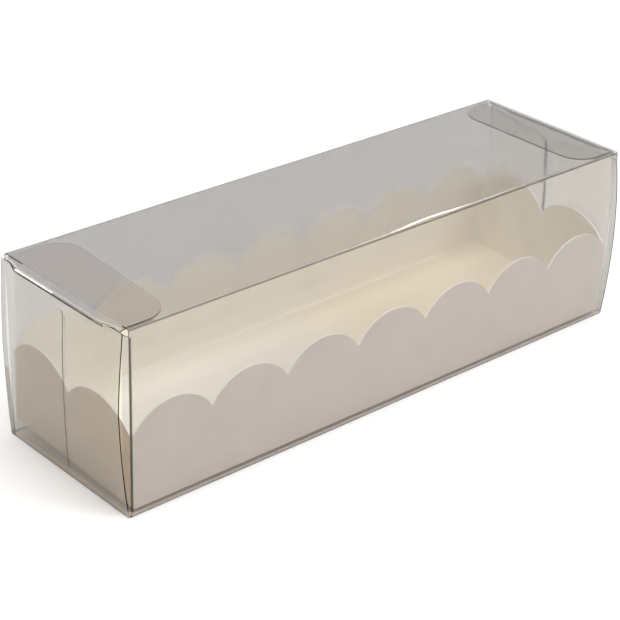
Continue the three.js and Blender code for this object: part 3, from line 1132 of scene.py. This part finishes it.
    def lean(self, end: End, p: Vector) -> float:
        """How far a point of an end wall leans out.

        Args:
            end: The end that the wall stands at.
            p: A vertex's place.

        Returns:
            The move along X, 0 away from this wall.
        """
        up = (p.z - self.lift(p) - self.fold) / self.end_crest
        if p.x * end.value < self.half_length - 0.1 or abs(p.y) > self.end_width / 2 + 0.1 or up < 0:
            return 0.0
        across = math.cos(min(abs(p.y) / self.half_width, 1) * math.pi / 2) ** self.lean_across
        return end.value * up * blend(self.lean_side[end], self.lean_middle[end], across)


@dataclass(frozen=True)
class Lamp:
    """A square soft light. Its places and its side are in millimetres, its power is in watts."""

    name: str
    place: Place
    target: Place
    side: float
    power: float

    def build(self) -> None:
        """Hangs the light up and points it at its target."""
        data = bpy.data.lights.new(self.name, "AREA")
        data.size = self.side * MM
        data.energy = self.power
        lamp = bpy.data.objects.new(self.name, data)
        lamp.location = mm(*self.place)
        lamp.rotation_mode = "QUATERNION"
        lamp.rotation_quaternion = (mm(*self.target) - mm(*self.place)).to_track_quat("-Z", "Y")
        bpy.context.scene.collection.objects.link(lamp)


@dataclass
class Studio:
    """A pale floor, five soft lights and a surround."""

    floor_size: float = 6.0
    floor_drop: float = 0.05
    sky: float = 1.35
    dim_side: Colour = (0.36, 0.3, 0.23)
    lamps: tuple[Lamp, ...] = (
        Lamp("key_light", place=(450, -620, 560), target=(0, 0, 0), side=450, power=3.2),
        Lamp("fill_light", place=(-500, -800, 300), target=(0, 0, 20), side=600, power=1.0),
        Lamp("streak_light", place=(665, 484, 610), target=(10, -25, 50), side=120, power=0.4),
        Lamp("crease_light", place=(-41, 741, 719), target=(-85, 0, 50), side=250, power=0.4),
        Lamp("overhead_light", place=(-150, -100, 900), target=(0, 0, 0), side=900, power=7.4),
    )

    def build(self) -> None:
        """Sets up the floor, the lights and the surround."""
        self.floor()
        for lamp in self.lamps:
            lamp.build()
        self.surround()

    def floor(self) -> None:
        """A plain pale floor with a soft clouding."""
        bpy.ops.object.select_all(action="DESELECT")
        bpy.ops.mesh.primitive_plane_add(size=self.floor_size, location=mm(0, 0, -self.floor_drop))
        floor = bpy.context.object
        floor.name = "studio_floor"
        floor.data.materials.append(PALE_FLOOR.material())

    def surround(self) -> None:
        """Sets the surround: white up to the horizon, grey above it, and darker at the left."""
        world = bpy.data.worlds.new("studio_surround")
        bpy.context.scene.world = world
        world.use_nodes = True
        nodes = Nodes(world.node_tree)
        parts = nodes.add("SeparateXYZ", Vector=nodes.add("TexCoord").outputs["Generated"])
        up = nodes.add("MapRange", Value=parts.outputs["Z"], From_Min=-1.0, From_Max=1.0)
        levels = ((0.5, 1.0), (0.58, 0.9), (0.64, 0.4), (0.82, 0.38), (0.9, 0.6))
        colour = nodes.ramp(up, [(place, grey(level)) for place, level in levels])
        along = nodes.add("MapRange", Value=parts.outputs["X"], From_Min=-1.0, From_Max=1.0)
        aside = nodes.ramp(along, [(0.0, self.dim_side), (0.5, (0.67, 0.66, 0.64)), (1.0, grey(1.0))])
        both = nodes.add("VectorMath", colour, aside, operation="MULTIPLY")
        nodes.add("OutputWorld", Surface=nodes.add("Background", Color=both, Strength=self.sky))


@dataclass
class Camera:
    """The camera at the photograph's place. Angles are in degrees, the place in millimetres."""

    azimuth: float = -42.37
    elevation: float = 27.64
    roll: float = 1.99
    place: Place = (-305.1, -327.5, 252.3)
    focal_pixels: float = 1903.0
    image_pixels: float = 620.0

    def build(self) -> None:
        """Adds the camera and makes it the scene's."""
        a, e, r = (math.radians(angle) for angle in (self.azimuth, self.elevation, self.roll))
        back = Vector((math.sin(a) * math.cos(e), -math.cos(a) * math.cos(e), math.sin(e)))
        level = Vector((math.cos(a), math.sin(a), 0))
        above = back.cross(level)
        right = level * math.cos(r) + above * math.sin(r)
        up = above * math.cos(r) - level * math.sin(r)
        data = bpy.data.cameras.new("photo_camera")
        data.sensor_width = 36.0
        data.lens = self.focal_pixels * data.sensor_width / self.image_pixels
        data.clip_start = 0.01
        camera = bpy.data.objects.new("photo_camera", data)
        turned = Matrix((right, up, back)).transposed().to_4x4()
        camera.matrix_world = Matrix.Translation(mm(*self.place)) @ turned
        bpy.context.scene.collection.objects.link(camera)
        bpy.context.scene.camera = camera


@dataclass
class MacaronBox:
    """The whole box, and which body each of its pieces rides on."""

    sleeve: Sleeve = field(default_factory=Sleeve)
    tray: Tray = field(default_factory=Tray)
    left_flap: EndFlap = field(default_factory=lambda: EndFlap(
        End.LEFT, 2.6, 2.0, 2.2, tab_tuck=1.2, tongue_tip=13.8, tongue_skew=2.9,
        crease_shade_finish=SOFT_SHADE_LINE,
    ))
    right_flap: EndFlap = field(default_factory=lambda: EndFlap(
        End.RIGHT, 3.3, 2.6, 1.0, crease_height=49.2, crease_shade_reach=0.3, root_reach=1.5, tongue_tip=14.0,
    ))

    def build(self) -> None:
        """Builds every piece and hangs it on its body."""
        for part, node, body, slot in (
            (self.tray, "tray", "box", "card"),
            (self.sleeve, "sleeve", "box", "film"),
            (self.left_flap, "end_flap_left", "left_flap", "film"),
            (self.right_flap, "end_flap_right", "right_flap", "film"),
        ):
            piece = part.build()
            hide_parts(node)
            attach(piece, body)
            log.info("%s: %d faces", piece.name, len(piece.data.polygons))


def set_colours() -> None:
    """Shows colours as they are, with no film look."""
    view = bpy.context.scene.view_settings
    view.view_transform = "Standard"
    view.look = "None"


def main() -> None:
    """Builds the scene."""
    logging.basicConfig(level=logging.INFO)
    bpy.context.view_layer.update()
    Camera().build()
    MacaronBox().build()
    Studio().build()
    set_colours()


if __name__ == "__main__":
    main()
